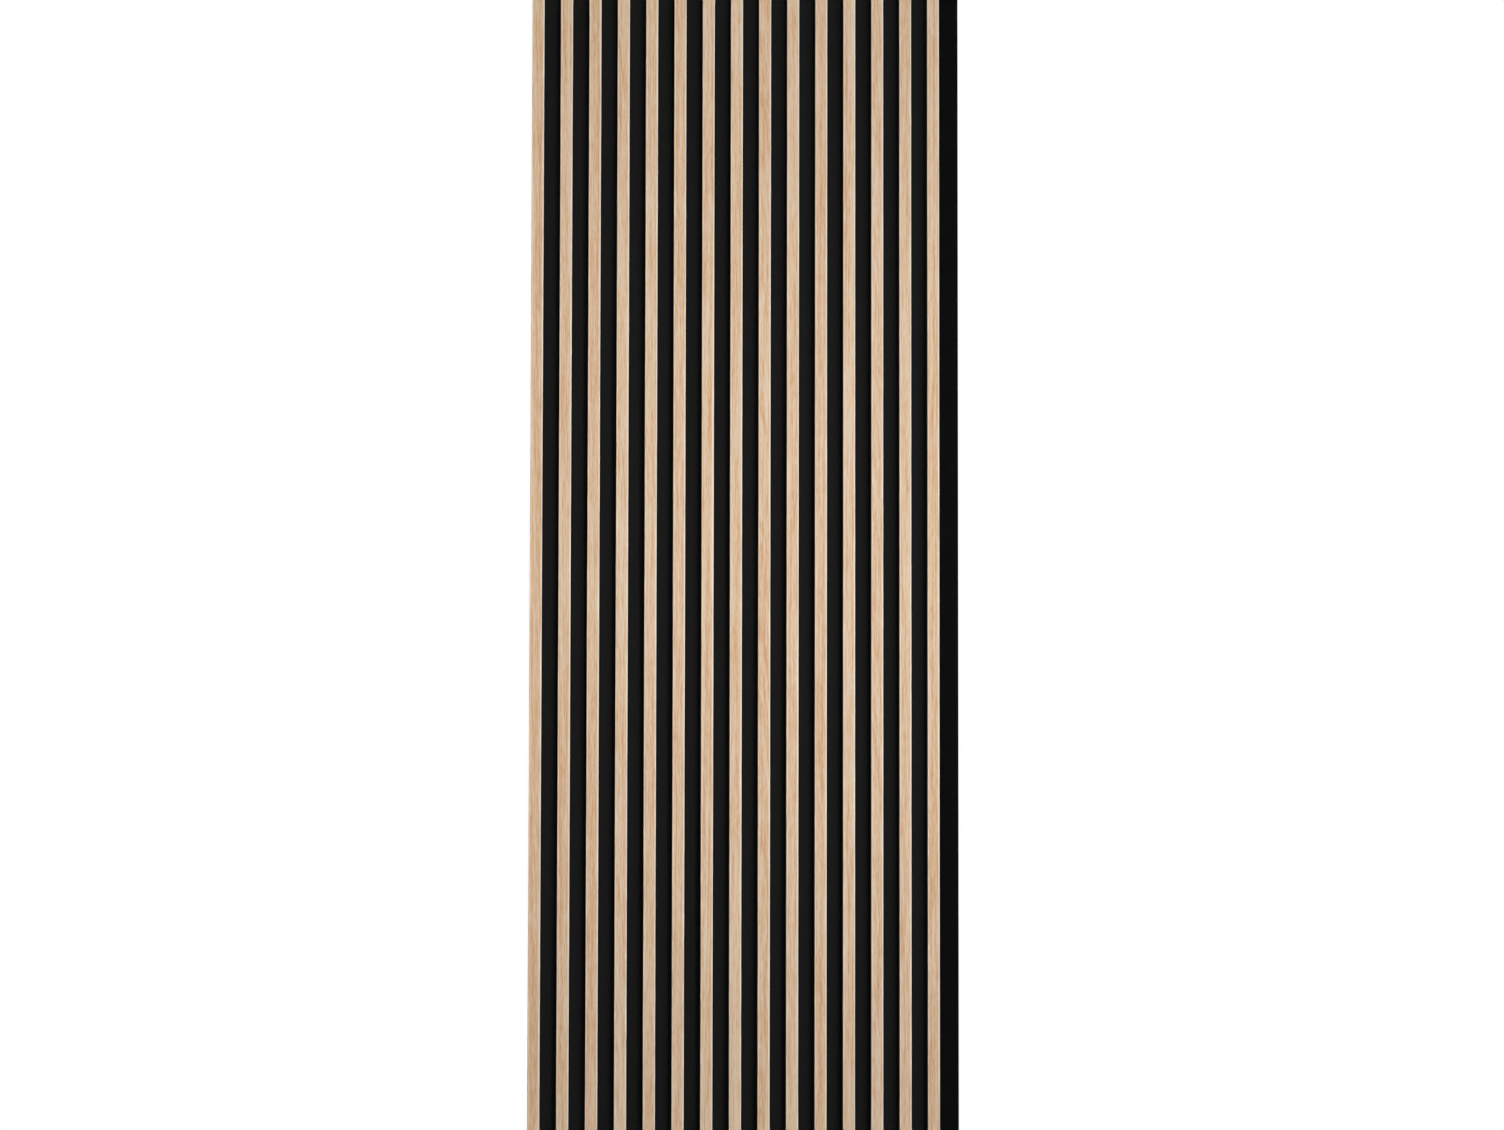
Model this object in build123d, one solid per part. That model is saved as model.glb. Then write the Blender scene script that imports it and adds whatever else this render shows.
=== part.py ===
"""Slatted wall panel: a row of oak-faced slats on a thin black fibreboard board.

The panel stands upright as it does on a wall. Z runs up along the slats, X runs to the
right as seen from the room, and the room is on the -Y side. The origin is the centre of
the board's back face, which is the face that goes against the wall.
"""
from build123d import *
import os

# Driving sizes, in millimetres
PANEL_LENGTH = 2600.0
SLAT_COUNT = 15
SLAT_WIDTH = 11.2
GROOVE_WIDTH = 15.2
BOARD_THICKNESS = 3.0
BOARD_ARRIS = 0.3
CORE_THICKNESS = 8.2
VENEER_THICKNESS = 0.8
VENEER_EDGE_RADIUS = 0.6
LAP_WIDTH = 4.0

# The slats repeat at one pitch, and so do neighbouring panels: the board is a whole
# number of pitches wide.
PITCH = SLAT_WIDTH + GROOVE_WIDTH
BOARD_WIDTH = SLAT_COUNT * PITCH

# The first slat stands out past the board's left edge by the lap. The board runs past the
# last slat by a groove and a lap, so the next panel's first slat covers that strip.
BOARD_LEFT = -BOARD_WIDTH / 2
FIRST_SLAT_LEFT = BOARD_LEFT - LAP_WIDTH

# Depths, counted from the wall towards the room
BOARD_FRONT = -BOARD_THICKNESS
CORE_FRONT = BOARD_FRONT - CORE_THICKNESS
VENEER_FRONT = CORE_FRONT - VENEER_THICKNESS

# The veneer's rounded edge leaves a little of its side upright.
EDGE_RADIUS_LIMIT = 0.9 * min(VENEER_THICKNESS, SLAT_WIDTH / 2)


def slat_middle(index):
    """Across the panel, the middle of a slat, counted from 0 at the left."""
    return FIRST_SLAT_LEFT + SLAT_WIDTH / 2 + index * PITCH


def run_along_panel(section):
    """Extrude a section over the panel's whole length. Both ends are sawn square."""
    foot = Pos(0, 0, -PANEL_LENGTH / 2)
    return extrude(foot * section, PANEL_LENGTH, dir=(0, 0, 1))


def make_back_board():
    """One sheet of black fibreboard, with its sawn long edges taken off by an arris."""
    sheet = Rectangle(BOARD_WIDTH, BOARD_THICKNESS, align=(Align.CENTER, Align.MAX))
    section = chamfer(sheet.vertices(), BOARD_ARRIS)
    return run_along_panel(section)


def make_slat_core(index):
    """A black fibreboard strip, square in section and glued flat to the board."""
    strip = Rectangle(SLAT_WIDTH, CORE_THICKNESS, align=(Align.CENTER, Align.MAX))
    return run_along_panel(Pos(slat_middle(index), BOARD_FRONT) * strip)


def make_slat_face(index):
    """A strip of oak veneer on the front of a core, with both long front edges eased."""
    strip = Rectangle(SLAT_WIDTH, VENEER_THICKNESS, align=(Align.CENTER, Align.MAX))
    front_corners = strip.vertices().group_by(Axis.Y)[0]
    section = fillet(front_corners, min(VENEER_EDGE_RADIUS, EDGE_RADIUS_LIMIT))
    return run_along_panel(Pos(slat_middle(index), CORE_FRONT) * section)


def make_panel():
    """Every piece of the panel, by its name."""
    pieces = {"back_board": make_back_board()}
    for index in range(SLAT_COUNT):
        number = f"{index + 1:02d}"
        pieces["slat_core_" + number] = make_slat_core(index)
        pieces["slat_face_" + number] = make_slat_face(index)
    return pieces


os.makedirs("parts", exist_ok=True)
for name, piece in make_panel().items():
    export_step(piece, "parts/" + name + ".step")

print(f"cover width {BOARD_WIDTH:.1f} mm, overall width {BOARD_WIDTH + LAP_WIDTH:.1f} mm")
print(f"depth from wall {-VENEER_FRONT:.1f} mm, length {PANEL_LENGTH:.1f} mm")
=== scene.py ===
"""Slatted wall panel: oak-faced slats on a black fibreboard board, standing as on a wall."""
import math
import random

import bmesh
import bpy
from mathutils import Euler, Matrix, Quaternion, Vector, noise


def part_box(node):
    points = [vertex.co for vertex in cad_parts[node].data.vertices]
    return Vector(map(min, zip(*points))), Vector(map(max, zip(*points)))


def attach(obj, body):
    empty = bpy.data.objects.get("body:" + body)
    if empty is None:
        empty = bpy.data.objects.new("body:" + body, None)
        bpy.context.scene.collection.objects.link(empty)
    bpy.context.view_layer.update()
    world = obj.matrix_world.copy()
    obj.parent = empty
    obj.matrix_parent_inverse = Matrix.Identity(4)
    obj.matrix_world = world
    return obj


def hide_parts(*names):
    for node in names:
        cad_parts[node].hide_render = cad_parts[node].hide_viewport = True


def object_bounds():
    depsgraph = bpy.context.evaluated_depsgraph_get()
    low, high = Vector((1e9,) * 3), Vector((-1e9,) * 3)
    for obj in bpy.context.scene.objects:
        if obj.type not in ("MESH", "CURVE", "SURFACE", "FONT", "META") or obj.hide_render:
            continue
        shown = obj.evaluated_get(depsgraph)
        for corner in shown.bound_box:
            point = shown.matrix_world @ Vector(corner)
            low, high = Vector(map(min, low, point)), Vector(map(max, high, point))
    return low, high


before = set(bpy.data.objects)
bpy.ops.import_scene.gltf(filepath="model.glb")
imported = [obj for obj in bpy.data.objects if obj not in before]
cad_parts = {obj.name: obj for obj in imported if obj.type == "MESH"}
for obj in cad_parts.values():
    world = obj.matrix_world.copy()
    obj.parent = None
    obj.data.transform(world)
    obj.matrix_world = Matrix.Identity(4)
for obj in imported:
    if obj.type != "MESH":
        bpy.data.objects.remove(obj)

cad_low, cad_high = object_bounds()


# The backing board
# One sheet of 3 mm fibreboard, dyed black right through. Its front has a smooth satin film,
# which is thinner on the strip past the last slat. Its back is bare, and is glued or
# screwed to the wall.

BOARD_BLACK = (0.0060, 0.0060, 0.0062, 1.0)
BOARD_FLECK = (0.0110, 0.0108, 0.0105, 1.0)
LAP_BLACK = (0.0022, 0.0022, 0.0023, 1.0)
BARE_BLACK = (0.0120, 0.0116, 0.0112, 1.0)
BARE_FLECK = (0.0400, 0.0360, 0.0320, 1.0)
BOARD_FLECK_AMOUNT = 0.45
FILM_WEIGHT = 0.16
LAP_FILM_WEIGHT = 0.03
FILM_ROUGHNESS = 0.80
BARE_ROUGHNESS = 0.92
BARE_SHARE = 0.1
BOARD_BUMP_STRENGTH = 0.12
BOARD_BUMP_DEPTH = 0.00008

# Pressed fibre: sizes along X, Y and Z, the heights at which a fleck starts and is full, and
# the shares of flecks and clouds. The shifts take the two from different parts of the noise.
MM_PER_M = 1000.0
FLECK_SIZE_MM = (0.5, 0.5, 0.9)
FLECK_SHIFT = 3.0
FLECK_DETAIL = 3.0
FLECK_BREAKUP = 0.6
FLECK_START = 0.52
FLECK_FULL = 0.72
FLECK_SHARE = 0.7
CLOUD_SIZE_MM = (14.0, 14.0, 22.0)
CLOUD_SHIFT = 8.0
CLOUD_SHARE = 0.6

# The sockets that a Mix node uses for colours: it has a set for each kind of data
MIX_FACTOR = 0
MIX_FIRST = 6
MIX_SECOND = 7
MIX_RESULT = 2


def start_material(name):
    """A new material with a Principled shader. Returns it, its node tree and the shader."""
    material = bpy.data.materials.new(name)
    material.use_nodes = True
    tree = material.node_tree
    return material, tree, tree.nodes["Principled BSDF"]


def add_node(tree, kind, **settings):
    """Add a node and set the named properties on it."""
    node = tree.nodes.new(kind)
    for name, value in settings.items():
        setattr(node, name, value)
    return node


def set_inputs(tree, node, values):
    """Feed a node's inputs, by name or number, from output sockets or with plain values."""
    for key, value in values.items():
        if isinstance(value, bpy.types.NodeSocket):
            tree.links.new(value, node.inputs[key])
        else:
            node.inputs[key].default_value = value


def start_group(name, inputs, outputs):
    """A shader node group, its sockets given as (name, kind). Returns it and its two ends."""
    group = bpy.data.node_groups.new(name, "ShaderNodeTree")
    for label, kind in inputs:
        group.interface.new_socket(label, in_out="INPUT", socket_type="NodeSocket" + kind)
    for label, kind in outputs:
        group.interface.new_socket(label, in_out="OUTPUT", socket_type="NodeSocket" + kind)
    enter = add_node(group, "NodeGroupInput")
    leave = add_node(group, "NodeGroupOutput")
    return group, enter, leave


def place_group(tree, group, values):
    """Put a node group into a material, with the material's own values for its inputs."""
    node = add_node(tree, "ShaderNodeGroup", node_tree=group)
    set_inputs(tree, node, values)
    return node


def calculate(tree, operation, *operands, clamp=False):
    """A Math node: each operand is a number or an output socket. Returns its output."""
    node = add_node(tree, "ShaderNodeMath", operation=operation, use_clamp=clamp)
    set_inputs(tree, node, dict(enumerate(operands)))
    return node.outputs[0]


def blend_colours(tree, factor, first, second):
    """A colour Mix node: factor and colours are values or output sockets. Returns its result."""
    node = add_node(tree, "ShaderNodeMix", data_type="RGBA")
    set_inputs(tree, node, {MIX_FACTOR: factor, MIX_FIRST: first, MIX_SECOND: second})
    return node.outputs[MIX_RESULT]


def object_position(tree):
    """Where a point of the surface lies in the object's own coordinates, in metres."""
    return add_node(tree, "ShaderNodeTexCoord").outputs["Object"]


def split_axes(tree, position):
    """The X, Y and Z of a position, as a node's outputs."""
    node = add_node(tree, "ShaderNodeSeparateXYZ")
    set_inputs(tree, node, {0: position})
    return node.outputs


def stretched_noise(tree, position, size_mm, shift, detail=2.0, breakup=0.5):
    """Noise whose grains measure size_mm along X, Y and Z. Returns a value about 0.5.

    Detail adds finer grains over the broad ones, and breakup says how strong they are.
    """
    scaled = add_node(tree, "ShaderNodeVectorMath", operation="MULTIPLY")
    set_inputs(tree, scaled, {0: position, 1: [MM_PER_M / size for size in size_mm]})
    pattern = add_node(tree, "ShaderNodeTexNoise", noise_dimensions="4D")
    set_inputs(tree, pattern, {
        "Vector": scaled.outputs[0],
        "W": shift,
        "Scale": 1.0,
        "Detail": detail,
        "Roughness": breakup,
    })
    return pattern.outputs["Fac"]


def add_bump(tree, shader, height, strength, depth):
    """Make the surface look uneven by a height, over a depth in metres."""
    bump = add_node(tree, "ShaderNodeBump")
    set_inputs(tree, bump, {"Height": height, "Strength": strength, "Distance": depth})
    set_inputs(tree, shader, {"Normal": bump.outputs[0]})


def make_fibre_group():
    """Pressed fibre: pale flecks a little longer than wide, and the faint hills between them."""
    group, enter, leave = start_group(
        "pressed_fibre",
        [("Position", "Vector"), ("Fleck Amount", "Float")],
        [("Fleck", "Float"), ("Height", "Float")],
    )
    position = enter.outputs["Position"]
    grains = stretched_noise(group, position, FLECK_SIZE_MM, FLECK_SHIFT, FLECK_DETAIL, FLECK_BREAKUP)
    clouds = stretched_noise(group, position, CLOUD_SIZE_MM, CLOUD_SHIFT)
    flecks = add_node(group, "ShaderNodeMapRange")
    set_inputs(group, flecks, {"Value": grains, "From Min": FLECK_START, "From Max": FLECK_FULL})
    mottle = calculate(group, "MULTIPLY", clouds, CLOUD_SHARE)
    pattern = calculate(group, "MULTIPLY_ADD", flecks.outputs[0], FLECK_SHARE, mottle)
    fleck = calculate(group, "MULTIPLY", pattern, enter.outputs["Fleck Amount"], clamp=True)
    set_inputs(group, leave, {"Fleck": fleck, "Height": grains})
    return group


def make_board_material(back_plane, last_slat_edge):
    """Satin black on the front and edges, bare and matt behind the back plane.

    The strip past the last slat's edge has a darker ground and a thinner film.
    """
    material, tree, shader = start_material("black_board")
    position = object_position(tree)
    axes = split_axes(tree, position)
    fibre = place_group(tree, pressed_fibre, {"Position": position, "Fleck Amount": BOARD_FLECK_AMOUNT})
    on_back = calculate(tree, "GREATER_THAN", axes["Y"], back_plane)
    past_slats = calculate(tree, "GREATER_THAN", axes["X"], last_slat_edge)
    ground = blend_colours(tree, past_slats, BOARD_BLACK, LAP_BLACK)
    front = blend_colours(tree, fibre.outputs["Fleck"], ground, BOARD_FLECK)
    bare = blend_colours(tree, fibre.outputs["Fleck"], BARE_BLACK, BARE_FLECK)
    film = calculate(tree, "MULTIPLY_ADD", past_slats, LAP_FILM_WEIGHT - FILM_WEIGHT, FILM_WEIGHT)
    off_back = calculate(tree, "SUBTRACT", 1.0, on_back)
    set_inputs(tree, shader, {
        "Base Color": blend_colours(tree, on_back, front, bare),
        "Coat Weight": calculate(tree, "MULTIPLY", film, off_back),
        "Coat Roughness": FILM_ROUGHNESS,
        "Roughness": BARE_ROUGHNESS,
        "Specular IOR Level": 0.0,
    })
    add_bump(tree, shader, fibre.outputs["Height"], BOARD_BUMP_STRENGTH, BOARD_BUMP_DEPTH)
    return material


def dress(node_name, material):
    """Give a CAD piece its one material."""
    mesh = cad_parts[node_name].data
    mesh.materials.clear()
    mesh.materials.append(material)


pressed_fibre = make_fibre_group()
board_low, board_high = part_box("back_board")
last_slat_low, last_slat_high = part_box("slat_core_15")
back_plane = board_high.y - (board_high.y - board_low.y) * BARE_SHARE
dress("back_board", make_board_material(back_plane, last_slat_high.x))


# The slat cores
# Strips planed from the same kind of black-dyed fibreboard and glued flat to the board.
# Their sides show fine marks along the strip from the planer. Their ends are sawn square,
# rough and matt.

CORE_BLACK = (0.0060, 0.0060, 0.0060, 1.0)
CORE_FLECK = (0.0180, 0.0170, 0.0160, 1.0)
CORE_FLECK_AMOUNT = 0.6
CORE_SPECULAR = 0.25
PLANED_ROUGHNESS = 0.55
PLANED_ROUGHNESS_SWING = 0.2
SAWN_ROUGHNESS = 0.95
SAWN_DEPTH = 0.0001
PLANER_MARK_MM = (0.35, 0.35, 60.0)
PLANER_MARK_SHIFT = 5.0
FIBRE_RELIEF = 0.4
CORE_BUMP_STRENGTH = 0.2
CORE_BUMP_DEPTH = 0.0001
NOISE_MIDDLE = 0.5
core_names = sorted(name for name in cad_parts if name.startswith("slat_core_"))


def swing(tree, pattern, amount, middle, clamp=False):
    """A noise as a swing about a middle. The amount is how far apart its 0 and its 1 then lie."""
    off_middle = calculate(tree, "SUBTRACT", pattern, NOISE_MIDDLE)
    return calculate(tree, "MULTIPLY_ADD", off_middle, amount, middle, clamp=clamp)


def make_core_material():
    """Black fibreboard with planing marks that run along the strip, and rough sawn ends."""
    material, tree, shader = start_material("black_core")
    position = object_position(tree)
    fibre = place_group(tree, pressed_fibre, {"Position": position, "Fleck Amount": CORE_FLECK_AMOUNT})
    marks = stretched_noise(tree, position, PLANER_MARK_MM, PLANER_MARK_SHIFT)
    planed = swing(tree, marks, PLANED_ROUGHNESS_SWING, PLANED_ROUGHNESS)
    from_middle = calculate(tree, "ABSOLUTE", split_axes(tree, position)["Z"])
    on_end = calculate(tree, "GREATER_THAN", from_middle, cad_high.z - SAWN_DEPTH)
    sawn = calculate(tree, "MULTIPLY", on_end, SAWN_ROUGHNESS)
    set_inputs(tree, shader, {
        "Base Color": blend_colours(tree, fibre.outputs["Fleck"], CORE_BLACK, CORE_FLECK),
        "Roughness": calculate(tree, "MAXIMUM", planed, sawn),
        "Specular IOR Level": CORE_SPECULAR,
    })
    height = calculate(tree, "MULTIPLY_ADD", fibre.outputs["Height"], FIBRE_RELIEF, marks)
    add_bump(tree, shader, height, CORE_BUMP_STRENGTH, CORE_BUMP_DEPTH)
    return material


core_material = make_core_material()
for name in core_names:
    dress(name, core_material)


# The slat faces
# A strip of light oak veneer on the front of each core, sanded and matt lacquered. The
# strips come from different leaves, so each has its own grain and a tone of its own.
# The long front edges are eased with fine paper, a little more in one place than another. A paler line along
# them is partly sanded wood and partly a painted highlight.

EDGE_RADIUS = 0.0006
EDGE_RADIUS_SPREAD = 0.00012
EDGE_WAVES_PER_M = 9.0
LEFT_EDGE = 0.0
RIGHT_EDGE = 7.0
FLAT_MARGIN = 0.00015
ARC_STEPS = 6
LENGTH_STEPS = 90
SHARP_ANGLE = math.radians(40)

OAK_PALE = (0.736, 0.621, 0.473, 1.0)
OAK_MIDDLE = (0.668, 0.461, 0.293, 1.0)
OAK_DEEP = (0.540, 0.256, 0.107, 1.0)
OAK_PINK = (0.695, 0.461, 0.312, 1.0)
OAK_STRAW = (0.666, 0.503, 0.307, 1.0)
PORE_BROWN = (0.360, 0.220, 0.125, 1.0)
# The pale line along both eased edges: partly paler sanded wood, partly a painted highlight
EDGE_PALE_AND_HIGHLIGHT = (0.880, 0.740, 0.600, 1.0)
TINT_SHARE = 0.4
PORE_SHARE = 0.45
OAK_SPECULAR = 0.25
OAK_ROUGHNESS = 0.60
OAK_ROUGHNESS_SWING = 0.12
PORE_ROUGHNESS = 0.15
OAK_BUMP_STRENGTH = 0.35
OAK_BUMP_DEPTH = 0.00006

# The figure: sizes along X, Y and Z, and how far each pattern swings the shade between
# deep at 0 and pale at 1. The waves push the rings sideways by millimetres.
SMOOTH = 1.0
SLOW_WAVE_MM = (900.0, 900.0, 420.0)
SLOW_PUSH_MM = 6.4
SHORT_WAVE_MM = (9.0, 9.0, 70.0)
SHORT_PUSH_MM = 1.4
RING_DETAIL = 3.0
RING_BREAKUP = 0.65
RING_SWING = 1.22
RING_RELIEF = 0.35
STREAK_MM = (1.2, 1.2, 52.0)
STREAK_BREAKUP = 0.6
STREAK_SWING = 2.4
TICK_MM = (1.2, 1.2, 11.0)
TICK_SWING = 1.85
DRIFT_MM = (7.0, 7.0, 150.0)
DRIFT_SWING = 0.85
MIDDLE_SHADE = 0.5
WARMTH_MM = (2.4, 2.4, 70.0)
WARMTH_SWING = 2.6
WARMTH_MIDDLE = 0.5
WARMTH_SHIFT = 50.0
PORE_MM = (0.32, 0.32, 9.0)
PORE_LIMIT = 0.64
PORE_LIMIT_SWING = 0.22
PORE_SHARPNESS = 7.0
# Size, shift and reach of the pale edge line, which is partly a painted highlight
EDGE_LINE_MM = (3.0, 3.0, 45.0)
EDGE_LINE_SHIFT = 90.0
EDGE_LINE_REACH_MM = 1.7

# What differs from strip to strip. The flat-cut ones have leaning rings bent into arches.
CHANCE_SEED = 15
FLAT_CUT_STRIPS = (4, 9, 13)
FLAT_CUT_LEAN = (0.09, 0.15)
FLAT_CUT_ARCH = (0.12, 0.25)
UPRIGHT_LEAN = (-0.012, 0.012)
HEART_MM = (-4.0, 4.0)
RING_WIDTH_MM = (2.2, 3.6)
TONE = (-0.09, 0.09)
LEAF_STEP = 4.37
RINGS_PER_LEAF = 31.7
face_names = sorted(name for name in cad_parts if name.startswith("slat_face_"))


def add_growth_rings(group, enter, across, along):
    """Rings counted across the strip and pushed sideways by slow and by short waves."""
    position = enter.outputs["Position"]
    leaf = enter.outputs["Leaf"]
    slow = stretched_noise(group, position, SLOW_WAVE_MM, leaf, detail=SMOOTH)
    short = stretched_noise(group, position, SHORT_WAVE_MM, leaf, detail=SMOOTH)
    from_heart = calculate(group, "SUBTRACT", across, enter.outputs["Heart"])
    slow_pushed = swing(group, slow, SLOW_PUSH_MM, from_heart)
    pushed = swing(group, short, SHORT_PUSH_MM, slow_pushed)
    leaning = calculate(group, "MULTIPLY_ADD", along, enter.outputs["Lean"], pushed)
    squared = calculate(group, "MULTIPLY", pushed, pushed)
    arched = calculate(group, "MULTIPLY_ADD", squared, enter.outputs["Arch"], leaning)
    count = calculate(group, "DIVIDE", arched, enter.outputs["Ring Width"])
    rings = add_node(group, "ShaderNodeTexNoise", noise_dimensions="1D")
    set_inputs(group, rings, {
        "W": calculate(group, "MULTIPLY_ADD", leaf, RINGS_PER_LEAF, count),
        "Scale": 1.0,
        "Detail": RING_DETAIL,
        "Roughness": RING_BREAKUP,
    })
    return rings.outputs["Fac"]


def add_pores(group, enter, rings):
    """Short dark dashes, closer together in the soft part of each ring. Returns their mask."""
    dashes = stretched_noise(group, enter.outputs["Position"], PORE_MM, enter.outputs["Leaf"], detail=SMOOTH)
    limit = swing(group, rings, PORE_LIMIT_SWING, PORE_LIMIT)
    past_limit = calculate(group, "SUBTRACT", dashes, limit)
    return calculate(group, "MULTIPLY", past_limit, PORE_SHARPNESS, clamp=True)


def add_warmth(group, enter):
    """Drifts between a pinker and a more straw-coloured wood. Returns their colour."""
    warm_leaf = calculate(group, "ADD", enter.outputs["Leaf"], WARMTH_SHIFT)
    warmth = stretched_noise(group, enter.outputs["Position"], WARMTH_MM, warm_leaf)
    straw_share = swing(group, warmth, WARMTH_SWING, WARMTH_MIDDLE, clamp=True)
    return blend_colours(group, straw_share, OAK_PINK, OAK_STRAW)


def add_pale_edge_and_highlight(group, enter, across):
    """Paler colour along both edges, in a line that comes and goes: partly sanded wood, partly a painted
    highlight. Returns its mask.
    """
    edge_line_leaf = calculate(group, "ADD", enter.outputs["Leaf"], EDGE_LINE_SHIFT)
    edge_line_wave = stretched_noise(group, enter.outputs["Position"], EDGE_LINE_MM, edge_line_leaf)
    reach = calculate(group, "MULTIPLY", edge_line_wave, EDGE_LINE_REACH_MM / NOISE_MIDDLE)
    from_middle = calculate(group, "ABSOLUTE", across)
    inside = calculate(group, "SUBTRACT", enter.outputs["Half Width"], from_middle)
    return calculate(group, "SUBTRACT", 1.0, calculate(group, "DIVIDE", inside, reach), clamp=True)


def make_oak_group():
    """Oak figure: growth rings that wander along the strip, streaks, pores and drifts of colour.

    Leaf picks the part of the log. Middle is the strip's middle across the panel and Half
    Width its half width, in mm, for the pale line along the eased edges, which is partly
    sanded wood and partly a painted highlight. Heart moves the rings sideways and Ring Width
    is how wide they are, in mm. Lean tilts them across the strip, and Arch bends them into
    the arches of a flat-cut leaf. Tone makes the whole strip paler, or deeper when it is
    below zero.
    """
    numbers = ("Leaf", "Middle", "Half Width", "Heart", "Ring Width", "Lean", "Arch", "Tone")
    group, enter, leave = start_group(
        "oak_figure",
        [("Position", "Vector")] + [(label, "Float") for label in numbers],
        [("Color", "Color"), ("Roughness", "Float"), ("Height", "Float")],
    )
    position = enter.outputs["Position"]
    leaf = enter.outputs["Leaf"]
    axes = split_axes(group, position)
    x_mm = calculate(group, "MULTIPLY", axes["X"], MM_PER_M)
    across = calculate(group, "SUBTRACT", x_mm, enter.outputs["Middle"])
    along = calculate(group, "MULTIPLY", axes["Z"], MM_PER_M)

    # The shade: rings, streaks and ticks a millimetre wide, and broad drifts
    rings = add_growth_rings(group, enter, across, along)
    streaks = stretched_noise(group, position, STREAK_MM, leaf, breakup=STREAK_BREAKUP)
    ticks = stretched_noise(group, position, TICK_MM, leaf, breakup=STREAK_BREAKUP)
    drift = stretched_noise(group, position, DRIFT_MM, leaf, detail=SMOOTH)
    shade = MIDDLE_SHADE
    for pattern, amount in (
        (rings, RING_SWING),
        (streaks, STREAK_SWING),
        (ticks, TICK_SWING),
        (drift, DRIFT_SWING),
    ):
        shade = swing(group, pattern, amount, shade)
    shade = calculate(group, "ADD", shade, enter.outputs["Tone"], clamp=True)
    ramp = add_node(group, "ShaderNodeValToRGB")
    ramp.color_ramp.elements[0].color = OAK_DEEP
    ramp.color_ramp.elements[1].color = OAK_PALE
    middle_stop = ramp.color_ramp.elements.new(MIDDLE_SHADE)
    middle_stop.color = OAK_MIDDLE
    set_inputs(group, ramp, {0: shade})

    # Over it lie the pink or straw tint, the pores, and the pale line along the eased edges, which is partly
    # sanded wood and partly a painted highlight
    wood = blend_colours(group, TINT_SHARE, ramp.outputs[0], add_warmth(group, enter))
    pores = add_pores(group, enter, rings)
    pored = blend_colours(group, calculate(group, "MULTIPLY", pores, PORE_SHARE), wood, PORE_BROWN)
    rough = swing(group, streaks, OAK_ROUGHNESS_SWING, OAK_ROUGHNESS)
    relief = calculate(group, "MULTIPLY", rings, RING_RELIEF)
    set_inputs(group, leave, {
        "Color": blend_colours(group, add_pale_edge_and_highlight(group, enter, across), pored, EDGE_PALE_AND_HIGHLIGHT),
        "Roughness": calculate(group, "MULTIPLY_ADD", pores, PORE_ROUGHNESS, rough),
        "Height": calculate(group, "SUBTRACT", relief, pores),
    })
    return group


def make_oak_material(index, low, high, chance):
    """Oak for the strip between two corners, cut from its own part of the log."""
    material, tree, shader = start_material(f"oak_veneer_{index:02d}")
    flat_cut = index in FLAT_CUT_STRIPS
    lean = FLAT_CUT_LEAN if flat_cut else UPRIGHT_LEAN
    oak = place_group(tree, oak_figure, {
        "Position": object_position(tree),
        "Leaf": index * LEAF_STEP,
        "Middle": (low.x + high.x) / 2 * MM_PER_M,
        "Half Width": (high.x - low.x) / 2 * MM_PER_M,
        "Lean": chance.uniform(*lean),
        "Heart": chance.uniform(*HEART_MM),
        "Ring Width": chance.uniform(*RING_WIDTH_MM),
        "Arch": chance.uniform(*FLAT_CUT_ARCH) if flat_cut else 0.0,
        "Tone": chance.uniform(*TONE),
    })
    set_inputs(tree, shader, {
        "Base Color": oak.outputs["Color"],
        "Roughness": oak.outputs["Roughness"],
        "Specular IOR Level": OAK_SPECULAR,
    })
    add_bump(tree, shader, oak.outputs["Height"], OAK_BUMP_STRENGTH, OAK_BUMP_DEPTH)
    return material


def edge_radius(index, edge, z):
    """How far an edge of a strip is eased at one height: each edge has a slow wave of its own."""
    wave = noise.noise(Vector((z * EDGE_WAVES_PER_M, index, edge)))
    return EDGE_RADIUS + EDGE_RADIUS_SPREAD * wave


def quarter_round(across, out, radius, first_turn):
    """Points of a quarter circle about (across, out), anticlockwise from its first turn."""
    turns = [first_turn + math.pi / 2 * step / ARC_STEPS for step in range(ARC_STEPS + 1)]
    return [(across + radius * math.cos(turn), out + radius * math.sin(turn)) for turn in turns]


def veneer_section(width, thickness, left_radius, right_radius):
    """Points (across, out) of a strip's section: flat back, upright sides, eased front edges.

    A point just inside each end of the front keeps the smooth shading off the flat between.
    """
    left = -width / 2 + left_radius
    right = width / 2 - right_radius
    return [
        (-width / 2, 0.0),
        (width / 2, 0.0),
        *quarter_round(right, thickness - right_radius, right_radius, 0.0),
        (right - FLAT_MARGIN, thickness),
        (left + FLAT_MARGIN, thickness),
        *quarter_round(left, thickness - left_radius, left_radius, math.pi / 2),
    ]


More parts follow.
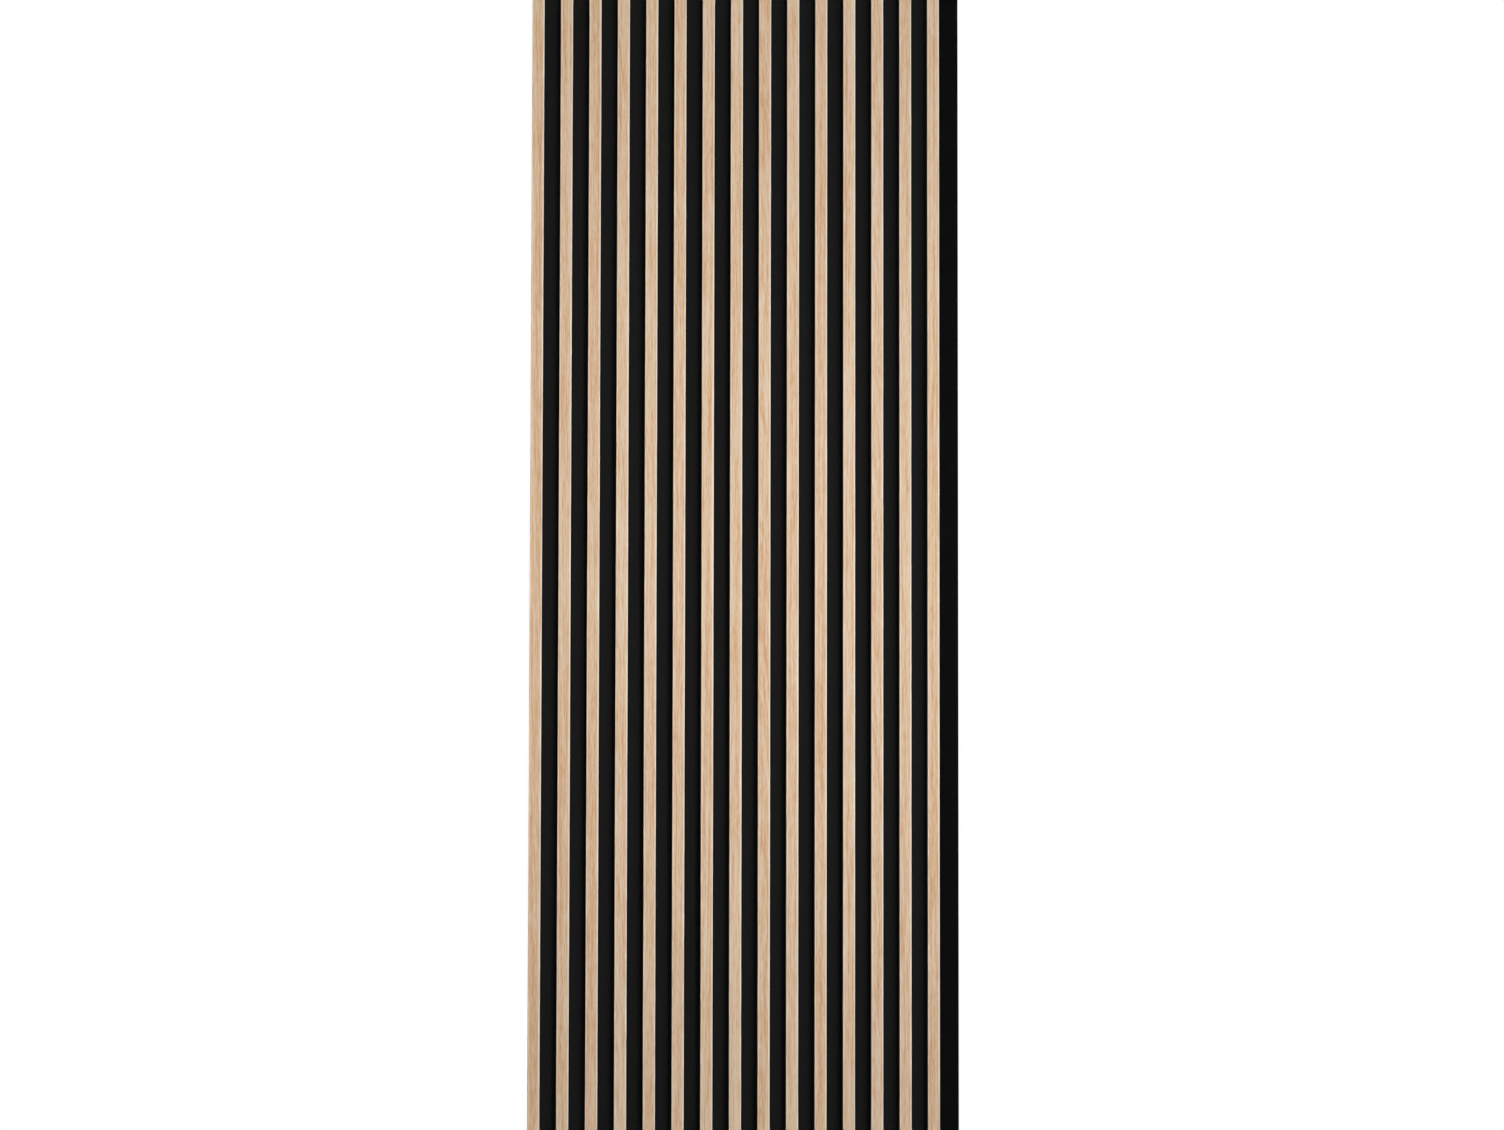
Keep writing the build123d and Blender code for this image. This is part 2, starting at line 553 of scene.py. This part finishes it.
def make_veneer_strip(index, low, high):
    """The strip's mesh between two corners, with edges eased by hand along its length."""
    name = f"oak_face_{index:02d}"
    middle_x = (low.x + high.x) / 2
    build = bmesh.new()
    sections = []
    for step in range(LENGTH_STEPS + 1):
        z = low.z + (high.z - low.z) * step / LENGTH_STEPS
        left_radius = edge_radius(index, LEFT_EDGE, z)
        right_radius = edge_radius(index, RIGHT_EDGE, z)
        points = veneer_section(high.x - low.x, high.y - low.y, left_radius, right_radius)
        sections.append([build.verts.new((middle_x + across, high.y - out, z)) for across, out in points])
    count = len(sections[0])
    for lower, upper in zip(sections, sections[1:]):
        for first in range(count):
            second = (first + 1) % count
            build.faces.new((lower[first], lower[second], upper[second], upper[first]))
    build.faces.new(list(reversed(sections[0])))
    build.faces.new(sections[-1])
    bmesh.ops.recalc_face_normals(build, faces=build.faces)
    mesh = bpy.data.meshes.new(name)
    build.to_mesh(mesh)
    build.free()
    mesh.shade_smooth()
    mesh.set_sharp_from_angle(angle=SHARP_ANGLE)
    strip = bpy.data.objects.new(name, mesh)
    bpy.context.scene.collection.objects.link(strip)
    return strip


oak_figure = make_oak_group()
chance = random.Random(CHANCE_SEED)
for index, name in enumerate(face_names, start=1):
    strip_low, strip_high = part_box(name)
    strip = make_veneer_strip(index, strip_low, strip_high)
    strip.data.materials.append(make_oak_material(index, strip_low, strip_high, chance))
    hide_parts(name)
    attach(strip, "root")


# The floor
# A round of plain pale floor at the panel's foot, which fades into the white surround. The
# camera sees it pale, but it sends little light back, so that the black keeps its depth.

FLOOR_RADIUS = 3.6
FLOOR_SIDES = 96
FLOOR_PALE = (0.86, 0.86, 0.86, 1.0)
FLOOR_UNSEEN = (0.20, 0.20, 0.20, 1.0)
FLOOR_ROUGHNESS = 0.9
WHITE = (1.0, 1.0, 1.0, 1.0)
FADE_START = 0.5
FADE_END = 2.6
WHITE_SHARE = 0.62
KEEP_X_AND_Y = (1.0, 1.0, 0.0)


def seen_or_mirrored(tree):
    """1 for a ray from the camera, from a gloss or through glass, and 0 for bounced light."""
    ray = add_node(tree, "ShaderNodeLightPath")
    first_two = calculate(tree, "MAXIMUM", ray.outputs["Is Camera Ray"], ray.outputs["Is Glossy Ray"])
    return calculate(tree, "MAXIMUM", first_two, ray.outputs["Is Transmission Ray"])


def make_floor_material():
    """Pale matt floor, which turns into the surround's white further from the panel."""
    material, tree, shader = start_material("pale_floor")
    seen = seen_or_mirrored(tree)
    set_inputs(tree, shader, {
        "Base Color": blend_colours(tree, seen, FLOOR_UNSEEN, FLOOR_PALE),
        "Roughness": FLOOR_ROUGHNESS,
        "Specular IOR Level": 0.0,
    })
    level = add_node(tree, "ShaderNodeVectorMath", operation="MULTIPLY")
    set_inputs(tree, level, {0: object_position(tree), 1: KEEP_X_AND_Y})
    reach = add_node(tree, "ShaderNodeVectorMath", operation="LENGTH")
    set_inputs(tree, reach, {0: level.outputs[0]})
    fade = add_node(tree, "ShaderNodeMapRange", interpolation_type="SMOOTHSTEP")
    set_inputs(tree, fade, {
        "Value": reach.outputs["Value"],
        "From Min": FADE_START,
        "From Max": FADE_END,
        "To Min": WHITE_SHARE,
    })
    glow = add_node(tree, "ShaderNodeEmission")
    set_inputs(tree, glow, {"Color": WHITE})
    join = add_node(tree, "ShaderNodeMixShader")
    set_inputs(tree, join, {
        0: calculate(tree, "MULTIPLY", fade.outputs[0], seen),
        1: shader.outputs[0],
        2: glow.outputs[0],
    })
    set_inputs(tree, tree.nodes["Material Output"], {"Surface": join.outputs[0]})
    return material


def make_floor():
    """A round floor, level with the panel's lower end."""
    mesh = bpy.data.meshes.new("floor")
    turns = [math.tau * side / FLOOR_SIDES for side in range(FLOOR_SIDES)]
    rim = [(FLOOR_RADIUS * math.cos(turn), FLOOR_RADIUS * math.sin(turn), cad_low.z) for turn in turns]
    mesh.from_pydata(rim, [], [tuple(range(FLOOR_SIDES))])
    mesh.materials.append(make_floor_material())
    floor = bpy.data.objects.new("floor", mesh)
    bpy.context.scene.collection.objects.link(floor)


make_floor()


# The light
# The main lamp, the key, stands to the right of the camera, so each slat shades the right
# side of the groove beside it. Two lamps carry its light on to the panel's ends, weak ones
# fill in from above, from both sides and all round, and two behind show the back.

WORLD_LIGHT = (0.06, 0.06, 0.06, 1.0)


def add_soft_box(name, place, aim, size, watts, spread=180.0):
    """A rectangular lamp that faces a point. Its spread, in degrees, narrows what it lights."""
    lamp = bpy.data.lights.new(name, "AREA")
    lamp.shape = "RECTANGLE"
    lamp.size, lamp.size_y = size
    lamp.energy = watts
    lamp.spread = math.radians(spread)
    holder = bpy.data.objects.new(name, lamp)
    holder.location = place
    holder.rotation_euler = (Vector(aim) - Vector(place)).to_track_quat("-Z", "Y").to_euler()
    bpy.context.scene.collection.objects.link(holder)


add_soft_box("key", place=(1.12, -2.62, -0.11), aim=(-0.05, 0.0, -0.10),
             size=(1.1, 0.9), watts=4.65, spread=42.5)
add_soft_box("top_end", place=(1.18, -2.62, 1.10), aim=(-0.10, 0.0, 1.20),
             size=(1.1, 0.6), watts=1.0, spread=22.0)
add_soft_box("low_end", place=(1.18, -2.62, -1.10), aim=(-0.10, 0.0, -1.19),
             size=(1.1, 0.6), watts=2.4, spread=22.0)
add_soft_box("upper_light", place=(0.45, -2.1, 1.45), aim=(-0.12, 0.0, 0.95),
             size=(0.7, 0.7), watts=2.0, spread=56.0)
add_soft_box("side_light", place=(2.00, -1.67, 0.70), aim=(0.0, 0.0, 0.20), size=(0.9, 1.2), watts=18.0)
add_soft_box("left_fill", place=(-1.8, -2.6, 0.6), aim=(0.0, 0.0, 0.0), size=(1.6, 2.2), watts=2.4)
add_soft_box("back_left", place=(-1.6, 2.2, 0.6), aim=(0.0, 0.0, 0.0), size=(1.2, 2.0), watts=40.0)
add_soft_box("back_right", place=(2.0, 1.6, 1.2), aim=(0.0, 0.0, 0.0), size=(1.0, 1.6), watts=40.0)

world = bpy.data.worlds.new("studio")
world.use_nodes = True
bpy.context.scene.world = world
surround = world.node_tree
surround_colour = blend_colours(surround, seen_or_mirrored(surround), WORLD_LIGHT, WHITE)
set_inputs(surround, surround.nodes["Background"], {"Color": surround_colour})


# The camera
# It stands 2.3 m in front of the panel, a little left of and below the middle of the slats,
# and looks slightly up and to the right.

CAMERA_PLACE = (-0.1853, -2.321, -0.0852)
CAMERA_YAW = math.radians(4.67)
CAMERA_PITCH = math.radians(2.11)
CAMERA_ROLL = math.radians(0.10)
FOCAL_PIXELS = 2500.0
PHOTO_WIDTH = 1504.0
SENSOR_WIDTH_MM = 36.0

camera_data = bpy.data.cameras.new("camera")
camera_data.sensor_width = SENSOR_WIDTH_MM
camera_data.lens = FOCAL_PIXELS / PHOTO_WIDTH * SENSOR_WIDTH_MM
camera = bpy.data.objects.new("camera", camera_data)
camera.location = CAMERA_PLACE
level_look = Euler((math.pi / 2 + CAMERA_PITCH, 0.0, -CAMERA_YAW)).to_quaternion()
camera.rotation_mode = "QUATERNION"
camera.rotation_quaternion = level_look @ Quaternion((0.0, 0.0, 1.0), CAMERA_ROLL)
bpy.context.scene.collection.objects.link(camera)
bpy.context.scene.camera = camera
bpy.context.scene.view_settings.view_transform = "Standard"
